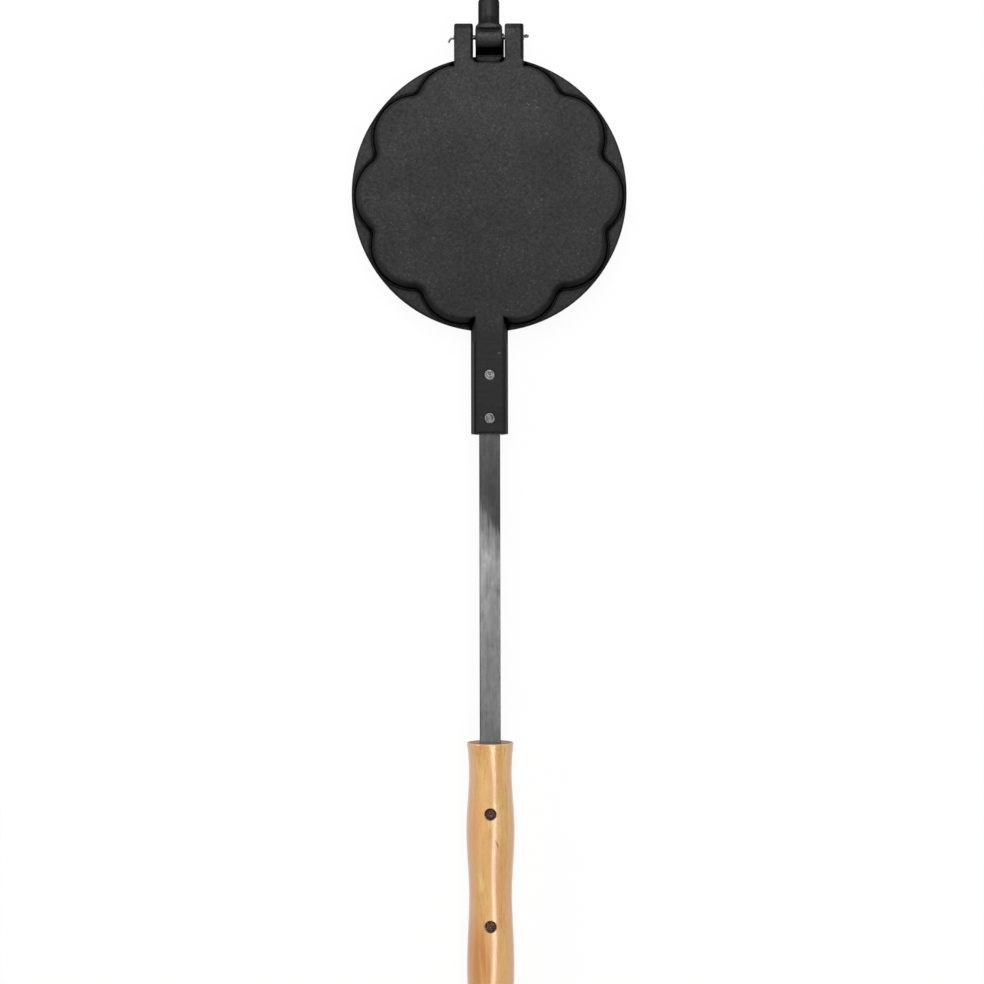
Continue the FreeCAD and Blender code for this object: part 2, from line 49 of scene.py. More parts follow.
# one node, with its settings as keywords and its inputs as values or links
def addNode(tree, kind, inputs=None, **settings):
    node = tree.nodes.new(kind)
    for name, value in settings.items():
        setattr(node, name, value)
    for name, value in (inputs or {}).items():
        if isinstance(value, bpy.types.NodeSocket):
            tree.links.new(value, node.inputs[name])
        else:
            node.inputs[name].default_value = value
    return node


def calc(tree, operation, first, second=0.0, clamp=False):
    inputs = {0: first, 1: second}
    return addNode(tree, "ShaderNodeMath", inputs, operation=operation, use_clamp=clamp).outputs[0]


def product(tree, first, *others):
    for other in others:
        first = calc(tree, "MULTIPLY", first, other)
    return first


# two values added, the second with a share and the first with the rest
def blended(tree, first, second, share):
    return calc(tree, "ADD", product(tree, first, 1.0 - share), product(tree, second, share))


def calcVector(tree, operation, first, second, output="Vector"):
    return addNode(tree, "ShaderNodeVectorMath", {0: first, 1: second}, operation=operation).outputs[output]


def remap(tree, value, low, high, toLow=0.0, toHigh=1.0, smooth=True):
    kind = "SMOOTHSTEP" if smooth else "LINEAR"
    inputs = {"Value": value, "From Min": low, "From Max": high, "To Min": toLow, "To Max": toHigh}
    return addNode(tree, "ShaderNodeMapRange", inputs, interpolation_type=kind).outputs[0]


# most values of a noise lie in this span
noiseSpan = (0.3, 0.7)


# the value carried from one span to another along a straight line
def spread(tree, value, span, toSpan):
    return remap(tree, value, *span, *toSpan, smooth=False)


# a factor that is 1 where the mask is 0, and the gain where it is 1
def gainWhere(tree, mask, gain):
    return spread(tree, mask, (0.0, 1.0), (1.0, gain))


def mixColour(tree, factor, first, second, blend="MIX"):
    inputs = {0: factor, 6: first, 7: second}
    return addNode(tree, "ShaderNodeMix", inputs, data_type="RGBA", blend_type=blend).outputs[2]


def scaled(tree, colour, factor):
    grey = addNode(tree, "ShaderNodeCombineColor", {0: factor, 1: factor, 2: factor}).outputs[0]
    return mixColour(tree, 1.0, colour, grey, "MULTIPLY")


def stretch(tree, vector, scale, place=(0, 0, 0)):
    return addNode(tree, "ShaderNodeMapping", {"Vector": vector, "Scale": scale, "Location": place}).outputs[0]


def noise(tree, vector, scale, detail=2.0, roughness=0.5, distortion=0.0, output="Fac"):
    inputs = {"Vector": vector, "Scale": scale, "Detail": detail, "Roughness": roughness}
    inputs["Distortion"] = distortion
    return addNode(tree, "ShaderNodeTexNoise", inputs).outputs[output]


def ramp(tree, value, stops, interpolation):
    node = addNode(tree, "ShaderNodeValToRGB", {0: value})
    node.color_ramp.interpolation = interpolation
    elements = node.color_ramp.elements
    while len(elements) < len(stops):
        elements.new(0.5)
    for element, (place, colour) in zip(elements, stops):
        element.position = place
        element.color = (*colour, 1)
    return node.outputs[0]


def bump(tree, height, strength, distance, normal=None):
    inputs = {"Height": height, "Strength": strength, "Distance": distance}
    if normal is not None:
        inputs["Normal"] = normal
    return addNode(tree, "ShaderNodeBump", inputs).outputs[0]


def objectPlace(tree):
    return addNode(tree, "ShaderNodeTexCoord").outputs["Object"]


def axisOf(tree, vector, axis):
    return addNode(tree, "ShaderNodeSeparateXYZ", {0: vector}).outputs[axis]


def distanceFrom(tree, value, middle):
    return calc(tree, "ABSOLUTE", calc(tree, "SUBTRACT", value, middle))


# a drawn line fades in between these shares of its half width
lineFade = (1.4, 0.5)


# 1 on a soft-edged line where the value is the middle, 0 away from it
def lineAt(tree, value, middle, half):
    return remap(tree, distanceFrom(tree, value, middle), half * lineFade[0], half * lineFade[1])


# 1 inside a soft-edged oval spot on the XY plane, 0 outside; half sizes in metres, turned by degrees
def spot(tree, place, centre, halfSizes, turnDeg=0.0, soft=0.35):
    inputs = {
        "Vector": place,
        "Location": (centre[0], centre[1], 0),
        "Rotation": (0, 0, math.radians(turnDeg)),
        "Scale": (halfSizes[0], halfSizes[1], 1),
    }
    local = addNode(tree, "ShaderNodeMapping", inputs, vector_type="TEXTURE").outputs[0]
    flat = calcVector(tree, "MULTIPLY", local, (1, 1, 0))
    away = calcVector(tree, "LENGTH", flat, (0, 0, 0), "Value")
    return remap(tree, away, 1.0 + soft, 1.0 - soft)


# an empty node group with named sockets; each input is (name, default), each output (name, kind)
def newGroup(name, inputs, outputs):
    tree = bpy.data.node_groups.new(name, "ShaderNodeTree")
    for label, value in inputs:
        socket = tree.interface.new_socket(label, in_out="INPUT", socket_type="NodeSocketFloat")
        socket.default_value = value
    for label, kind in outputs:
        tree.interface.new_socket(label, in_out="OUTPUT", socket_type="NodeSocket" + kind)
    start = tree.nodes.new("NodeGroupInput")
    end = tree.nodes.new("NodeGroupOutput")
    return tree, start.outputs, end.inputs


def useGroup(tree, group, **inputs):
    return addNode(tree, "ShaderNodeGroup", inputs, node_tree=group).outputs


# the scales of its coarser parts, as shares of the fine sand's
sandShares = {"clots": 0.45, "clouds": 0.03, "pits": 0.3, "pitPatches": 0.11, "specks": 0.9}


# sand-cast grain: fine sand, clotted patches, bright specks and rare pits
def makeSandGrain():
    outputs = [("Tone", "Float"), ("Height", "Float"), ("Speck", "Float")]
    tree, given, out = newGroup("sandGrain", [("Grain", 900.0), ("Pits", 0.5)], outputs)
    place = objectPlace(tree)
    scales = {part: product(tree, given["Grain"], share) for part, share in sandShares.items()}
    sand = noise(tree, place, given["Grain"], 3.0, 0.7)
    clots = noise(tree, place, scales["clots"], 2.0, 0.6)
    clouds = noise(tree, place, scales["clouds"], 3.0, 0.55)
    grains = blended(tree, sand, clots, 0.45)
    tone = blended(tree, grains, clouds, 0.2)
    cells = addNode(tree, "ShaderNodeTexVoronoi", {"Vector": place, "Scale": scales["pits"]})
    pitted = remap(tree, cells.outputs["Distance"], 0.28, 0.1)
    chosen = remap(tree, noise(tree, place, scales["pitPatches"], 1.0), 0.56, 0.66)
    pit = product(tree, pitted, chosen, given["Pits"])
    bright = remap(tree, noise(tree, place, scales["specks"], 1.0), 0.66, 0.78)
    speck = product(tree, bright, remap(tree, clouds, 0.4, 0.6))
    tree.links.new(tone, out["Tone"])
    tree.links.new(calc(tree, "SUBTRACT", grains, pit), out["Height"])
    tree.links.new(speck, out["Speck"])
    return tree


# worn edges: where the surface, rounded by a small radius, turns away from itself
def makeEdgeWear():
    inputs = [("Radius", 0.0008), ("Break", 300.0)]
    tree, given, out = newGroup("edgeWear", inputs, [("Mask", "Float"), ("Normal", "Vector")])
    rounded = addNode(tree, "ShaderNodeBevel", {"Radius": given["Radius"]}, samples=6).outputs[0]
    flat = addNode(tree, "ShaderNodeNewGeometry").outputs["Normal"]
    facing = calcVector(tree, "DOT_PRODUCT", rounded, flat, "Value")
    patchy = remap(tree, noise(tree, objectPlace(tree), given["Break"], 3.0, 0.6), 0.35, 0.7)
    tree.links.new(product(tree, remap(tree, facing, 0.995, 0.86), patchy), out["Mask"])
    tree.links.new(rounded, out["Normal"])
    return tree


# painted shade in corners and gaps: none where the openness is Start, full where it is End
def makeRecessShade():
    inputs = [("Reach", 0.01), ("Start", 0.9), ("End", 0.45)]
    tree, given, out = newGroup("recessShade", inputs, [("Mask", "Float")])
    reach = {"Distance": given["Reach"]}
    openness = addNode(tree, "ShaderNodeAmbientOcclusion", reach, samples=8, only_local=True).outputs["AO"]
    tree.links.new(remap(tree, openness, given["Start"], given["End"]), out["Mask"])
    return tree


# drawn steel: streaks along the bar's length
def makeDrawnStreaks():
    inputs = [("Across", 900.0), ("Along", 14.0)]
    tree, given, out = newGroup("drawnStreaks", inputs, [("Tone", "Float"), ("Height", "Float")])
    parts = addNode(tree, "ShaderNodeSeparateXYZ", {0: objectPlace(tree)}).outputs
    drawn = addNode(tree, "ShaderNodeCombineXYZ", {
        "X": product(tree, parts["X"], given["Across"]),
        "Y": product(tree, parts["Y"], given["Along"]),
        "Z": product(tree, parts["Z"], given["Across"]),
    }).outputs[0]
    fine = noise(tree, drawn, 1.0, 3.0, 0.6, 0.3)
    wide = noise(tree, drawn, 0.22, 2.0, 0.5, 0.2)
    tree.links.new(blended(tree, fine, wide, 0.45), out["Tone"])
    tree.links.new(fine, out["Height"])
    return tree


sandGrain = makeSandGrain()
edgeWear = makeEdgeWear()
recessShade = makeRecessShade()
drawnStreaks = makeDrawnStreaks()
print("shader groups: sand grain, edge wear, recess soot, drawn streaks")


# a material with its Principled shader; what is the same all over is set on its sockets here
def newMaterial(name, **sockets):
    material = bpy.data.materials.new(name)
    material.use_nodes = True
    tree = material.node_tree
    shader = tree.nodes["Principled BSDF"]
    for label, value in sockets.items():
        shader.inputs[label].default_value = value
    return material, tree, shader.inputs


def finishWith(tree, sockets, colour, roughness, normal):
    for label, value in (("Base Color", colour), ("Roughness", roughness), ("Normal", normal)):
        tree.links.new(value, sockets[label])


# places are in metres; each pair in from, to or aboveZ is where an effect starts and where it is full, along
# Y or Z, and in aside the same across X; lines are painted shade lines (X, half width) on the ears, and painted
# shade and highlight lines (X, tint, share) on the bracket
castIron = {
    "dark": (0.0122, 0.0122, 0.0123, 1),
    "light": (0.0398, 0.0398, 0.0402, 1),
    "smooth": (0.0225, 0.0225, 0.0227, 1),
    # the colour of the painted shade
    "paintedShade": (0.0006, 0.0006, 0.0006, 1),
    "speck": (0.15, 0.15, 0.149, 1),
    "sheen": {"Metallic": 0.3, "Specular Tint": (0.5, 0.5, 0.5, 1), "Specular IOR Level": 0.0},
    "grain": {"Grain": 900.0, "Pits": 0.6},
    "toneSpan": (0.28, 0.72),
    "roughness": (0.46, 0.32),
    "paintedShadeRoughness": 0.3,
    "edgeRadius": 0.0022,
    "bumpDepth": 0.0004,
    "bumpStrength": (0.45, 0.15),
    "crease": {"Reach": 0.0048, "Start": 0.92, "End": 0.72},
    "hollow": {"Reach": 0.014, "Start": 0.55, "End": 0.27},
    "hollowShare": 0.45,
    "bracketFrom": (-0.094, -0.102),
    "bracketSmooth": 0.75,
    "speckShare": (0.3, 0.1),
    "smears": {"stretch": (60, 420, 60), "tone": (0.86, 1.14)},
    "flaw": {
        "centre": (0.0069, -0.1131), "half": (0.0012, 0.0005), "turnDeg": 5.0,
        "aboveZ": (0.033, 0.034), "share": 0.35,
    },
    "earShadeLines": {"from": (0.0915, 0.0945), "lines": ((-0.0120, 0.0010), (0.0227, 0.0005)), "share": 0.8},
    "bracketShadeAndHighlightLines": {
        "from": (-0.103, -0.107),
        "middle": 0.0003,
        "half": 0.0007,
        "lines": ((0.0106, "paintedShade", 0.85), (0.0119, "speck", 0.26)),
    },
    "barrel": {
        "centre": (0.0, 0.1145), "half": (0.0136, 0.0125), "soft": 0.15,
        "aboveZ": (0.0, 0.003), "gain": 1.6,
    },
    "collar": {"from": (0.1180, 0.1205), "tone": 0.36},
    "stub": {"from": (0.1238, 0.1290), "aside": (0.0012, 0.0062), "tone": (1.12, 0.56)},
    "groove": {"from": (0.1138, 0.1148), "to": (0.1202, 0.1192), "keep": 0.45},
    "pocket": {"from": (0.0998, 0.1004), "to": (0.1055, 0.1017), "aside": (0.0113, 0.0103), "depth": 0.93},
    "wearAndPaintedLight": {"along": (-0.1, 0.125), "tone": (0.95, 1.24)},
}


# painted shade in creases and hollows, less in the groove above the barrel, most in the pocket before it
def ironPaintedShade(tree, s, x, y):
    crease = useGroup(tree, recessShade, **s["crease"])["Mask"]
    hollow = useGroup(tree, recessShade, **s["hollow"])["Mask"]
    paintedShade = calc(tree, "MAXIMUM", crease, product(tree, hollow, s["hollowShare"]))
    groove, pocket = s["groove"], s["pocket"]
    inGroove = product(tree, remap(tree, y, *groove["from"]), remap(tree, y, *groove["to"]))
    paintedShade = product(tree, paintedShade, gainWhere(tree, inGroove, groove["keep"]))
    across = remap(tree, calc(tree, "ABSOLUTE", x), *pocket["aside"])
    behind, front = remap(tree, y, *pocket["to"]), remap(tree, y, *pocket["from"])
    return calc(tree, "MAXIMUM", paintedShade, product(tree, across, behind, front, pocket["depth"]))


# painted shade on the collar, and across the stub behind it a painted highlight down the middle and painted
# shade on its sides; 1 elsewhere
def collarAndStubShading(tree, s, x, y):
    collar, stub = s["collar"], s["stub"]
    sideShading = remap(tree, calc(tree, "ABSOLUTE", x), *stub["aside"], *stub["tone"])
    rise = remap(tree, y, *stub["from"])
    paler = product(tree, rise, calc(tree, "SUBTRACT", sideShading, collar["tone"]))
    there = calc(tree, "ADD", collar["tone"], paler)
    change = product(tree, remap(tree, y, *collar["from"]), calc(tree, "SUBTRACT", 1.0, there))
    return calc(tree, "SUBTRACT", 1.0, change)


def makeCastIron():
    s = castIron
    material, tree, sockets = newMaterial("castIron", **s["sheen"])
    place = objectPlace(tree)
    x, y, z = (axisOf(tree, place, axis) for axis in "XYZ")
    grain = useGroup(tree, sandGrain, **s["grain"])
    # painted shade in the creases, hollows and the pocket before the barrel
    paintedShade = ironPaintedShade(tree, s, x, y)
    body = mixColour(tree, spread(tree, grain["Tone"], s["toneSpan"], (0.0, 1.0)), s["dark"], s["light"])
    onBracket = remap(tree, y, *s["bracketFrom"])
    specks = product(tree, grain["Speck"], spread(tree, onBracket, (0.0, 1.0), s["speckShare"]))
    body = mixColour(tree, specks, body, s["speck"])
    smears = noise(tree, stretch(tree, place, s["smears"]["stretch"]), 1.0, 3.0, 0.6)
    smeared = scaled(tree, s["smooth"], spread(tree, smears, noiseSpan, s["smears"]["tone"]))
    body = mixColour(tree, product(tree, onBracket, s["bracketSmooth"]), body, smeared)
    # painted light: the iron lighter towards the hinge end, darker towards the bracket
    body = scaled(tree, body, spread(tree, y, s["wearAndPaintedLight"]["along"], s["wearAndPaintedLight"]["tone"]))
    # painted shade and highlight on the collar and the stub
    body = scaled(tree, body, collarAndStubShading(tree, s, x, y))
    # painted highlight on the barrel
    barrel = s["barrel"]
    paintedBarrelLight = spot(tree, place, barrel["centre"], barrel["half"], soft=barrel["soft"])
    paintedBarrelLight = product(tree, paintedBarrelLight, remap(tree, z, *barrel["aboveZ"]))
    body = scaled(tree, body, gainWhere(tree, paintedBarrelLight, barrel["gain"]))
    flaw = s["flaw"]
    fleck = spot(tree, place, flaw["centre"], flaw["half"], flaw["turnDeg"])
    fleck = product(tree, fleck, remap(tree, z, *flaw["aboveZ"]), flaw["share"])
    body = mixColour(tree, fleck, body, s["speck"])
    # painted shade lines along the ears' edges
    ears = s["earShadeLines"]
    onEars = remap(tree, y, *ears["from"])
    for where, half in ears["lines"]:
        line = product(tree, lineAt(tree, x, where, half), onEars, ears["share"])
        body = mixColour(tree, line, body, s["paintedShade"])
    # along each side of the bracket a painted shade line and a painted highlight line
    arm = s["bracketShadeAndHighlightLines"]
    aside = distanceFrom(tree, x, arm["middle"])
    onArm = remap(tree, y, *arm["from"])
    for where, tint, share in arm["lines"]:
        line = product(tree, lineAt(tree, aside, where, arm["half"]), onArm, share)
        body = mixColour(tree, line, body, s[tint])
    # the painted shade laid over the iron's colour
    body = mixColour(tree, paintedShade, body, s["paintedShade"])
    rough = spread(tree, grain["Tone"], noiseSpan, s["roughness"])
    rough = calc(tree, "ADD", rough, product(tree, paintedShade, s["paintedShadeRoughness"]), clamp=True)
    rounded = useGroup(tree, edgeWear, Radius=s["edgeRadius"])["Normal"]
    strength = spread(tree, onBracket, (0.0, 1.0), s["bumpStrength"])
    finishWith(tree, sockets, body, rough, bump(tree, grain["Height"], strength, s["bumpDepth"], rounded))
    return material


# tones are painted reflections along the bar: (share of the way from hinge end to grip, grey); lean shifts them
# from one edge to the other
barSteel = {
    "along": (-0.165, -0.39),
    "edges": (-0.0074, 0.0074),
    "paintedReflectionTones": (
        (0.0, 0.064), (0.2, 0.0465), (0.268, 0.053), (0.325, 0.138), (0.4, 0.212),
        (0.45, 0.232), (0.56, 0.21), (0.75, 0.164), (1.0, 0.122),
    ),
    "lean": (0.042, -0.042),
    "paintedSideLight": (1.08, 0.9),
    "streaks": {"Across": 1100.0, "Along": 16.0},
    "streakTone": (0.87, 1.15),
    "brush": {"stretch": (420, 38, 420), "push": (-0.05, 0.05)},
    "patches": {"stretch": (260, 75, 260), "tone": (0.84, 1.18)},
    "paintedGlintPatch": {
        "centre": (-0.0012, -0.2545), "half": (0.0028, 0.011), "turnDeg": -6.0,
        "soft": 0.7, "gain": 1.28,
    },
    "stain": (0.05, 0.049, 0.048, 1),
    "stainShare": 0.4,
    "worn": (0.25, 0.25, 0.25, 1),
    "wornShare": 0.3,
    "wearAndPaintedLight": {"Radius": 0.0006, "Break": 180.0},
    "roughness": (0.46, 0.3),
}


def makeBarSteel():
    s = barSteel
    material, tree, sockets = newMaterial("barSteel", **{"Metallic": 1.0})
    place = objectPlace(tree)
    x, y = axisOf(tree, place, "X"), axisOf(tree, place, "Y")
    streaks = useGroup(tree, drawnStreaks, **s["streaks"])
    edge = useGroup(tree, edgeWear, **s["wearAndPaintedLight"])
    brush = noise(tree, stretch(tree, place, s["brush"]["stretch"]), 1.0, 3.0, 0.6, 0.4)
    along = spread(tree, y, s["along"], (0.0, 1.0))
    along = calc(tree, "ADD", along, spread(tree, x, s["edges"], s["lean"]))
    along = calc(tree, "ADD", along, spread(tree, brush, (0.25, 0.75), s["brush"]["push"]))
    # painted reflections: dark and bright bands along the bar
    body = ramp(tree, along, [(where, (t, t, t * 1.005)) for where, t in s["paintedReflectionTones"]], "EASE")
    patches = noise(tree, stretch(tree, place, s["patches"]["stretch"]), 1.0, 4.0, 0.6, 0.3)
    streaked = remap(tree, streaks["Tone"], *noiseSpan, *s["streakTone"])
    body = scaled(tree, body, product(tree, streaked, remap(tree, patches, *noiseSpan, *s["patches"]["tone"])))
    # painted light: the bar's left edge lighter, its right edge darker
    body = scaled(tree, body, spread(tree, x, s["edges"], s["paintedSideLight"]))
    # a painted highlight patch on the bar
    paintedGlintPatch = s["paintedGlintPatch"]
    glintPatch = spot(tree, place, paintedGlintPatch["centre"], paintedGlintPatch["half"], paintedGlintPatch["turnDeg"], paintedGlintPatch["soft"])
    body = scaled(tree, body, gainWhere(tree, glintPatch, paintedGlintPatch["gain"]))
    stained = remap(tree, noise(tree, place, 70.0, 4.0, 0.6), 0.52, 0.75, 0.0, s["stainShare"])
    body = mixColour(tree, stained, body, s["stain"])
    body = mixColour(tree, product(tree, edge["Mask"], s["wornShare"]), body, s["worn"])
    rough = spread(tree, streaks["Tone"], noiseSpan, s["roughness"])
    finishWith(tree, sockets, body, rough, bump(tree, streaks["Height"], 0.15, 0.0002, edge["Normal"]))
    return material


# patterns are (stretch, place, detail, roughness) of the noise that each part of the wood's figure follows;
# layers are laid over the gold in turn: (pattern, from, to, most, tint)
gripWood = {
    "gold": (0.7, 0.415, 0.155, 1),
    "olive": (0.625, 0.37, 0.11, 1),
    "pink": (0.69, 0.325, 0.132, 1),
    "pale": (0.86, 0.6, 0.28, 1),
    "streak": (0.46, 0.205, 0.06, 1),
    "pore": (0.22, 0.09, 0.03, 1),
    "sideShading": (0.55, 0.265, 0.11, 1),
    "burnt": (0.52, 0.21, 0.058, 1),
    "endGrain": (0.3, 0.145, 0.062, 1),
    "butt": (0.5, 0.25, 0.085, 1),
    "lacquer": {"Coat Weight": 1.0, "Coat Roughness": 0.22, "Coat IOR": 1.62, "Specular IOR Level": 0.3},
    "swirl": {"stretch": (45, 14, 45), "push": (0.012, 0.03, 0.012)},
    "patterns": {
        "patches": ((75, 16, 75), (0, 0, 0), 3.0, 0.6),
        "hues": ((110, 22, 110), (3, 1, 2), 3.0, 0.6),
        "streaks": ((420, 15, 420), (0, 0, 0), 3.0, 0.6),
        "flecks": ((1300, 110, 1300), (0, 0, 0), 2.0, 0.6),
        "pores": ((1900, 330, 1900), (0, 0, 0), 1.0, 0.5),
    },
    "layers": (
        ("patches", 0.38, 0.62, 1.0, "olive"),
        ("hues", 0.48, 0.66, 0.85, "pink"),
        ("hues", 0.46, 0.3, 0.5, "pale"),
        ("streaks", 0.52, 0.72, 0.5, "streak"),
        ("flecks", 0.5, 0.75, 0.22, "streak"),
        ("flecks", 0.45, 0.28, 0.3, "pale"),
        ("pores", 0.68, 0.76, 0.5, "pore"),
    ),
    "sideShadingBands": {"middle": 0.001, "from": (0.0075, 0.0165), "share": 0.75},
    "scorch": {
        "centre": (-0.0095, -0.538), "half": (0.0095, 0.024), "turnDeg": 8.0,
        "soft": 0.6, "share": (0.45, 0.95),
    },
    "scratch": {
        "centre": (0.0048, -0.4575), "half": (0.0005, 0.0034), "turnDeg": 24.0,
        "aboveZ": (0.025, 0.028),
    },
    "rivetRims": {"places": (-0.4363, -0.5152), "radius": 0.004494, "soft": 0.09, "share": 0.8},
    "paintedRecessShade": {"Reach": 0.006, "Start": 0.5, "End": 0.2},
    "buttShare": 0.6,
    "roughness": (0.42, 0.56),
}


def makeGripWood():
    s = gripWood
    material, tree, sockets = newMaterial("gripWood", **s["lacquer"])
    place = objectPlace(tree)
    swirl = noise(tree, stretch(tree, place, s["swirl"]["stretch"]), 1.0, output="Color")
    bent = calcVector(tree, "ADD", place, calcVector(tree, "MULTIPLY", swirl, s["swirl"]["push"]))
    figure = {}
    for name, (size, shift, detail, roughness) in s["patterns"].items():
        on = place if name == "pores" else bent
        figure[name] = noise(tree, stretch(tree, on, size, shift), 1.0, detail, roughness)
    body = s["gold"]
    for pattern, low, high, most, tint in s["layers"]:
        body = mixColour(tree, remap(tree, figure[pattern], low, high, 0.0, most), body, s[tint])
    # painted shade on the grip's rounded sides
    sideShadingBands = s["sideShadingBands"]
    aside = distanceFrom(tree, axisOf(tree, place, "X"), sideShadingBands["middle"])
    body = mixColour(tree, remap(tree, aside, *sideShadingBands["from"], 0.0, sideShadingBands["share"]), body, s["sideShading"])
    scorch = s["scorch"]
    burnt = spot(tree, place, scorch["centre"], scorch["half"], scorch["turnDeg"], scorch["soft"])
    burnt = product(tree, burnt, remap(tree, figure["streaks"], 0.3, 0.6, *scorch["share"]))
    body = mixColour(tree, burnt, body, s["burnt"])
    scratch = s["scratch"]
    nick = spot(tree, place, scratch["centre"], scratch["half"], scratch["turnDeg"])
    upper = remap(tree, axisOf(tree, place, "Z"), *scratch["aboveZ"])
    nick = product(tree, nick, remap(tree, figure["pores"], 0.35, 0.6), upper)
    body = mixColour(tree, nick, body, s["pore"])
    rims = s["rivetRims"]
    for where in rims["places"]:
        rim = spot(tree, place, (0.0, where), (rims["radius"], rims["radius"]), soft=rims["soft"])
        body = mixColour(tree, product(tree, rim, rims["share"]), body, s["pore"])
    facing = axisOf(tree, addNode(tree, "ShaderNodeTexCoord").outputs["Normal"], "Y")
    end = remap(tree, facing, 0.8, 0.95)
    body = mixColour(tree, end, body, s["endGrain"])
    body = mixColour(tree, remap(tree, facing, -0.8, -0.98, 0.0, s["buttShare"]), body, s["butt"])
    # painted shade in the grip's recesses, in the dark pore colour
    body = mixColour(tree, useGroup(tree, recessShade, **s["paintedRecessShade"])["Mask"], body, s["pore"])
    coat = calc(tree, "SUBTRACT", s["lacquer"]["Coat Weight"], end, clamp=True)
    tree.links.new(coat, sockets["Coat Weight"])
    rough = spread(tree, figure["flecks"], noiseSpan, s["roughness"])
    finishWith(tree, sockets, body, rough, bump(tree, figure["flecks"], 0.1, 0.0002))
    return material


# middles are the dark spot on each face: its Y, radius, share of dark, and how ragged it is
bracketRivetSteel = {
    "face": (0.178, 0.178, 0.178, 1),
    "dent": (0.068, 0.068, 0.068, 1),
    "hammer": 800.0,
    "ragged": 650.0,
    "middles": ((-0.1292, 0.0019, 0.3, 0.5), (-0.1594, 0.0023, 0.55, 0.12)),
    "roughness": (0.5, 0.32),
}


def makeBracketRivetSteel():
    s = bracketRivetSteel
    material, tree, sockets = newMaterial("bracketRivetSteel", **{"Metallic": 1.0})
    place = objectPlace(tree)
    hammer = noise(tree, place, s["hammer"], 3.0, 0.6)
    body = mixColour(tree, remap(tree, hammer, 0.32, 0.62), s["dent"], s["face"])
    wobble = noise(tree, place, s["ragged"], output="Color")
    push = calcVector(tree, "SUBTRACT", wobble, (0.5, 0.5, 0.5))
    for where, radius, share, ragged in s["middles"]:
        moved = calcVector(tree, "ADD", place, calcVector(tree, "MULTIPLY", push, (radius * ragged * 3,) * 3))
        middle = spot(tree, moved, (0.0, where), (radius, radius), soft=0.2)
        body = mixColour(tree, product(tree, middle, share), body, s["dent"])
    rough = spread(tree, hammer, noiseSpan, s["roughness"])
    finishWith(tree, sockets, body, rough, bump(tree, hammer, 0.35, 0.0004))
    return material


gripRivetSteel = {
    "metal": 0.7,
    "rusty": ((0.028, 0.011, 0.008, 1), (0.1, 0.046, 0.036, 1)),
    "glint": (0.5, 0.44, 0.42, 1),
    "rustSize": 900.0,
    "glintSize": 1300.0,
    "glintShare": 0.8,
    "roughness": (0.6, 0.35),
}


def makeGripRivetSteel():
    s = gripRivetSteel
    material, tree, sockets = newMaterial("gripRivetSteel", **{"Metallic": s["metal"]})
    place = objectPlace(tree)
    rust = noise(tree, place, s["rustSize"], 3.0, 0.65)
    body = mixColour(tree, remap(tree, rust, 0.35, 0.7), *s["rusty"])
    glint = remap(tree, noise(tree, place, s["glintSize"], 1.0), 0.66, 0.74, 0.0, s["glintShare"])
    body = mixColour(tree, glint, body, s["glint"])
    rough = spread(tree, rust, noiseSpan, s["roughness"])
    finishWith(tree, sockets, body, rough, bump(tree, rust, 0.4, 0.0003))
    return material


pinWire = {
    "greys": ((0.1, 0.1, 0.1, 1), (0.24, 0.24, 0.24, 1)),
    "dullSize": 1200.0,
    "roughness": (0.45, 0.3),
}


def makePinWire():
    s = pinWire
    material, tree, sockets = newMaterial("pinWire", **{"Metallic": 1.0})
    dull = noise(tree, objectPlace(tree), s["dullSize"], 2.0, 0.6)
    body = mixColour(tree, remap(tree, dull, 0.35, 0.65), *s["greys"])
    rough = spread(tree, dull, noiseSpan, s["roughness"])
    finishWith(tree, sockets, body, rough, bump(tree, dull, 0.2, 0.0002))
    return material


finishes = {
    "plate": makeCastIron(),
    "handle_bar": makeBarSteel(),
    "grip": makeGripWood(),
    "bracket_rivet": makeBracketRivetSteel(),
    "grip_rivet": makeGripRivetSteel(),
    "split_pin": makePinWire(),
}
for name, node in nodes.items():
    kind = max((k for k in finishes if k in name), key=len)
    for slot in node.material_slots:
        slot.link = "OBJECT"
        slot.material = finishes[kind]
print("finishes: %d materials on %d pieces" % (len(finishes), len(nodes)))


# steps are the rings along each run of the profile; rimWaves are (waves round the rim, swing, times the phase);
# blows are soft dents in a face: place on it as shares of its radius, size as one too, and depth
bracketRivet = {
    "upSides": {"upper": 1, "lower": -1},
    "shankRadius": 0.003,
    "faceRadius": 0.00375,
    "coneDepth": 0.0016,
    "headDepth": 0.0024,
    "headRounding": 0.0012,
    "around": 96,
    "steps": {"face": 40, "cone": 8, "shank": 4, "under": 4, "rounding": 8, "end": 6},
    "rimWaves": ((2, 0.3, 1), (5, 0.2, 3)),
    "dishSoft": 0.14,
    "rollFrom": 0.8,
    "sharpDeg": 50,
    "faces": {
        "front": {
            "wander": 0.075, "dish": 0.00008, "dishShare": 0.5, "roll": 0.00022, "phase": 0.7,
            "blows": (
                (-0.4, 0.35, 0.3, 0.00024),
                (0.15, -0.45, 0.26, 0.0002),
                (0.5, 0.25, 0.22, 0.00014),
                (-0.15, 0.0, 0.2, 0.0001),
            ),
        },
        "rear": {
            "wander": 0.025, "dish": 0.00026, "dishShare": 0.62, "roll": 0.0002, "phase": 2.4,
            "blows": ((-0.2, 0.3, 0.3, 0.00004), (0.35, -0.2, 0.25, 0.00003)),
        },
    },
}


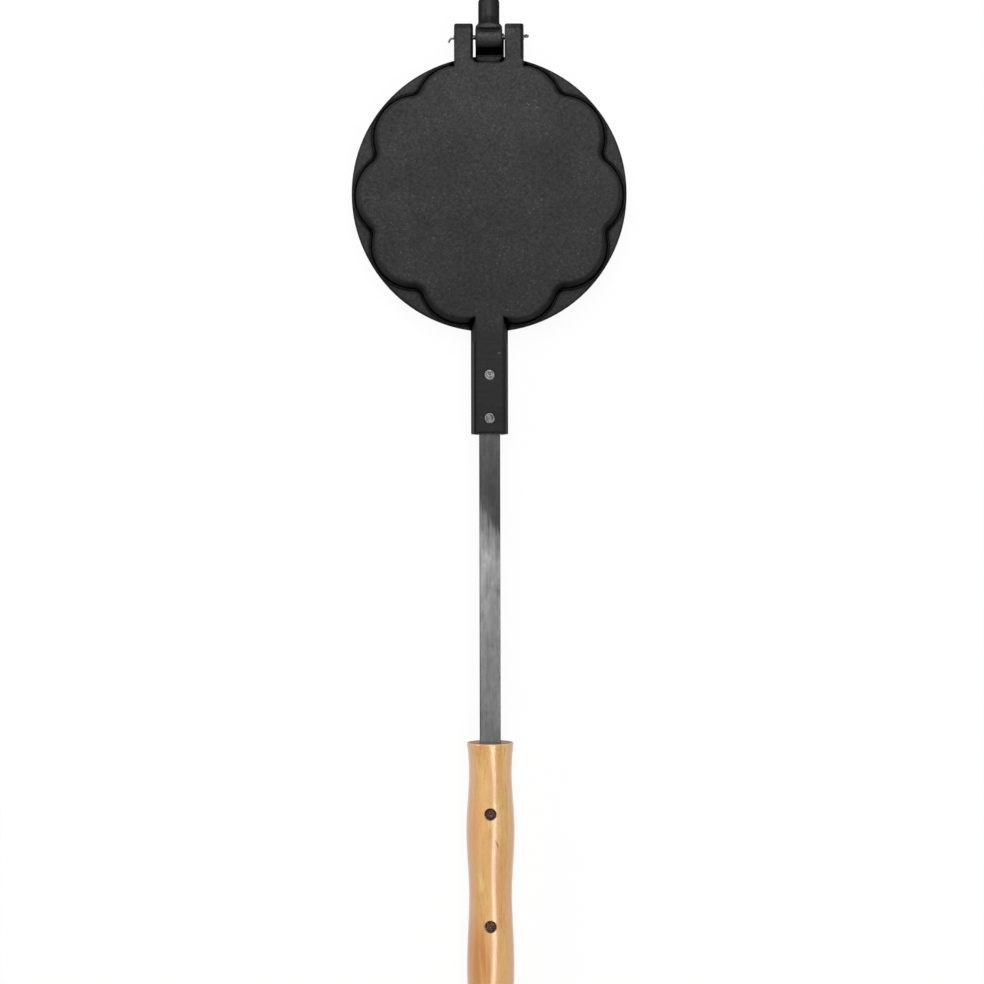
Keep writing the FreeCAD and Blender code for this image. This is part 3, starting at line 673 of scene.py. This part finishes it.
# radius and depth below the face, from the face's middle over cone, shank and rounded head to the other end:
# straight runs, and a quarter circle at the head's edge
def rivetProfile(s, length, headRadius):
    def run(start, end, name):
        return np.linspace(start, end, s["steps"][name] + 1)[1:]

    face, shank, cone, rounding = s["faceRadius"], s["shankRadius"], s["coneDepth"], s["headRounding"]
    under = length - s["headDepth"]
    turn = np.linspace(0.0, np.pi / 2, s["steps"]["rounding"] + 1)
    inner = headRadius - rounding
    return np.concatenate([
        run((0.0, 0.0), (face, 0.0), "face"),
        run((face, 0.0), (shank, cone), "cone"),
        run((shank, cone), (shank, under), "shank"),
        run((shank, under), (headRadius, under), "under"),
        np.stack([inner + rounding * np.cos(turn), length - rounding + rounding * np.sin(turn)], 1),
        run((inner, length), (0.0, length), "end")[:-1],
    ])


# how far the face sinks: a dish with a soft edge, a rim rolled down as a square, and round dents that fade
# as the exponential of minus twice the squared distance
def sunkFace(s, f, x, y, share):
    bowl = np.clip((f["dishShare"] + s["dishSoft"] - share) / (2 * s["dishSoft"]), 0.0, 1.0)
    rim = np.clip((share - s["rollFrom"]) / (1.0 - s["rollFrom"]), 0.0, 1.0)
    sunk = f["dish"] * bowl * bowl * (3 - 2 * bowl) + f["roll"] * rim**2
    for across, along, size, deep in f["blows"]:
        away = ((x / s["faceRadius"] - across) ** 2 + (y / s["faceRadius"] - along) ** 2) / size**2
        sunk = sunk + deep * np.exp(-2.0 * away)
    return sunk


# the turned profile carried round the rivet's axis, a ring for each of its points; the rim wanders inwards by
# cosines of the angle, less and less down the cone, and the face is sunk as above
def rivetRings(s, f, profile):
    angle = np.linspace(0.0, 2 * np.pi, s["around"], endpoint=False)
    radius, depth = (np.repeat(column[:, None], s["around"], 1) for column in profile.T)
    swing = 0.5 + sum(size * np.cos(waves * angle + times * f["phase"]) for waves, size, times in s["rimWaves"])
    near = np.clip(1.0 - depth / s["coneDepth"], 0.0, 1.0) * np.clip(radius / s["faceRadius"], 0.0, 1.0) ** 4
    radius = radius * (1.0 - f["wander"] * swing * near)
    x, y = radius * np.cos(angle), radius * np.sin(angle)
    onFace = depth < 1e-9
    depth = depth + onFace * sunkFace(s, f, x, y, np.clip(radius / s["faceRadius"], 0.0, 1.0))
    return np.stack([x, y, depth], 2)


# quads between rings of so many points, and fans to the two poles, which come after them
def ringFaces(rows, count):
    here = np.arange(count)
    after = (here + 1) % count
    starts = np.arange(rows - 1)[:, None] * count
    last = (rows - 1) * count
    quads = np.stack([starts + here, starts + count + here, starts + count + after, starts + after], 2)
    top = np.stack([np.full(count, rows * count), here, after], 1)
    foot = np.stack([np.full(count, rows * count + 1), last + after, last + here], 1)
    return quads.reshape(-1, 4).tolist() + top.tolist() + foot.tolist()


def makeBracketRivet(half, end):
    s = bracketRivet
    f = s["faces"][end]
    name = half + "_bracket_rivet_" + end
    low, high = (np.array(corner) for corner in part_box(name))
    middle, length, headRadius = (low + high) / 2, high[2] - low[2], (high[0] - low[0]) / 2
    rings = rivetRings(s, f, rivetProfile(s, length, headRadius))
    points = np.concatenate([rings.reshape(-1, 3), [[0.0, 0.0, f["dish"]], [0.0, 0.0, length]]])
    up = s["upSides"][half]
    faceZ = high[2] if up > 0 else low[2]
    points = np.stack([points[:, 0] + middle[0], points[:, 1] + middle[1], faceZ - up * points[:, 2]], 1)
    mesh = bpy.data.meshes.new(name)
    mesh.from_pydata(points.tolist(), [], ringFaces(len(rings), s["around"]))
    work = bmesh.new()
    work.from_mesh(mesh)
    bmesh.ops.recalc_face_normals(work, faces=work.faces)
    work.to_mesh(mesh)
    work.free()
    mesh.shade_smooth()
    mesh.set_sharp_from_angle(angle=math.radians(s["sharpDeg"]))
    piece = bpy.data.objects.new("peenedRivet_" + half + "_" + end, mesh)
    scene.collection.objects.link(piece)
    mesh.materials.append(finishes["bracket_rivet"])
    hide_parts(name)
    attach(piece, half + "_half")


for half in bracketRivet["upSides"]:
    for end in bracketRivet["faces"]:
        makeBracketRivet(half, end)
print("bracket rivets: %d with peened faces" % (len(bracketRivet["upSides"]) * len(bracketRivet["faces"])))


# the floor's own grey and how much of it is shown as white instead
stage = {"halfSize": 20.0, "z": 0.0, "colour": (0.93, 0.93, 0.93, 1), "roughness": 0.9, "showWhite": 0.93}


# a shader value that is 1 for camera, mirror and see-through rays
def seenRays(tree):
    rays = addNode(tree, "ShaderNodeLightPath").outputs
    seen = calc(tree, "MAXIMUM", rays["Is Camera Ray"], rays["Is Glossy Ray"])
    return calc(tree, "MAXIMUM", seen, rays["Is Transmission Ray"])


def makeFloor():
    s = stage
    h = s["halfSize"]
    mesh = bpy.data.meshes.new("floor")
    corners = [(x, y, s["z"]) for x, y in ((-h, -h), (h, -h), (h, h), (-h, h))]
    mesh.from_pydata(corners, [], [(0, 1, 2, 3)])
    floor = bpy.data.objects.new("floor", mesh)
    scene.collection.objects.link(floor)
    flat = {"Base Color": s["colour"], "Roughness": s["roughness"], "Specular IOR Level": 0.0}
    material, tree = newMaterial("paleFloor", **flat)[:2]
    shader = tree.nodes["Principled BSDF"].outputs[0]
    white = addNode(tree, "ShaderNodeEmission", {"Color": (1, 1, 1, 1), "Strength": 1.0}).outputs[0]
    share = product(tree, seenRays(tree), s["showWhite"])
    mixed = addNode(tree, "ShaderNodeMixShader", {0: share, 1: shader, 2: white}).outputs[0]
    tree.links.new(mixed, tree.nodes["Material Output"].inputs["Surface"])
    mesh.materials.append(material)


# the room's even light, and softboxes: centre, size across and along, watts, and the point each faces
light = {
    "world": 0.2,
    "boxes": {
        "plate": {"place": (-0.05, 0.9, 2.2), "size": (1.35, 1.65), "power": 39.0, "aim": (-0.05, 0.9, 0.0)},
        "grip": {"place": (0.68, -0.95, 2.2), "size": (0.68, 1.4), "power": 21.2, "aim": (0.68, -0.95, 0.0)},
        "left": {"place": (-1.8, 0.45, 0.85), "size": (1.2, 0.5), "power": 16.0, "aim": (0.0, 0.03, 0.02)},
        "right": {"place": (1.8, 0.5, 0.85), "size": (1.2, 0.5), "power": 3.0, "aim": (0.0, 0.03, 0.02)},
    },
}


def aimAt(obj, target):
    away = np.array(obj.location) - np.array(target)
    obj.rotation_euler = (math.acos(away[2] / np.linalg.norm(away)), 0, math.atan2(away[0], -away[1]))


# a pale room: white to the camera, and a weak even light on the object
def makeWorld():
    world = bpy.data.worlds.new("studio")
    world.use_nodes = True
    scene.world = world
    tree = world.node_tree
    glow = tree.nodes["Background"]
    glow.inputs["Color"].default_value = (1, 1, 1, 1)
    rays = addNode(tree, "ShaderNodeLightPath").outputs
    strength = spread(tree, rays["Is Camera Ray"], (0.0, 1.0), (light["world"], 1.0))
    tree.links.new(strength, glow.inputs["Strength"])


def makeLights():
    for name, s in light["boxes"].items():
        lamp = bpy.data.lights.new(name + "Softbox", "AREA")
        lamp.shape = "RECTANGLE"
        lamp.size, lamp.size_y = s["size"]
        lamp.energy = s["power"]
        obj = bpy.data.objects.new(name + "Softbox", lamp)
        obj.location = s["place"]
        aimAt(obj, s["aim"])
        obj.visible_camera = False
        scene.collection.objects.link(obj)


camera = {
    "place": (0.00158, -0.2104, 1.785),
    "rollDeg": -0.118,
    "lensMm": 91.46,
    "sensorMm": 36.0,
    "clip": (0.1, 60),
}


def makeCamera():
    data = bpy.data.cameras.new("camera")
    data.lens, data.sensor_width = camera["lensMm"], camera["sensorMm"]
    data.clip_start, data.clip_end = camera["clip"]
    obj = bpy.data.objects.new("camera", data)
    obj.location = camera["place"]
    obj.rotation_euler = (0, 0, math.radians(camera["rollDeg"]))
    scene.collection.objects.link(obj)
    scene.camera = obj


makeFloor()
makeLights()
makeWorld()
makeCamera()
scene.view_settings.view_transform = "Standard"
print("stage: floor, %d softboxes, pale room and camera" % len(light["boxes"]))
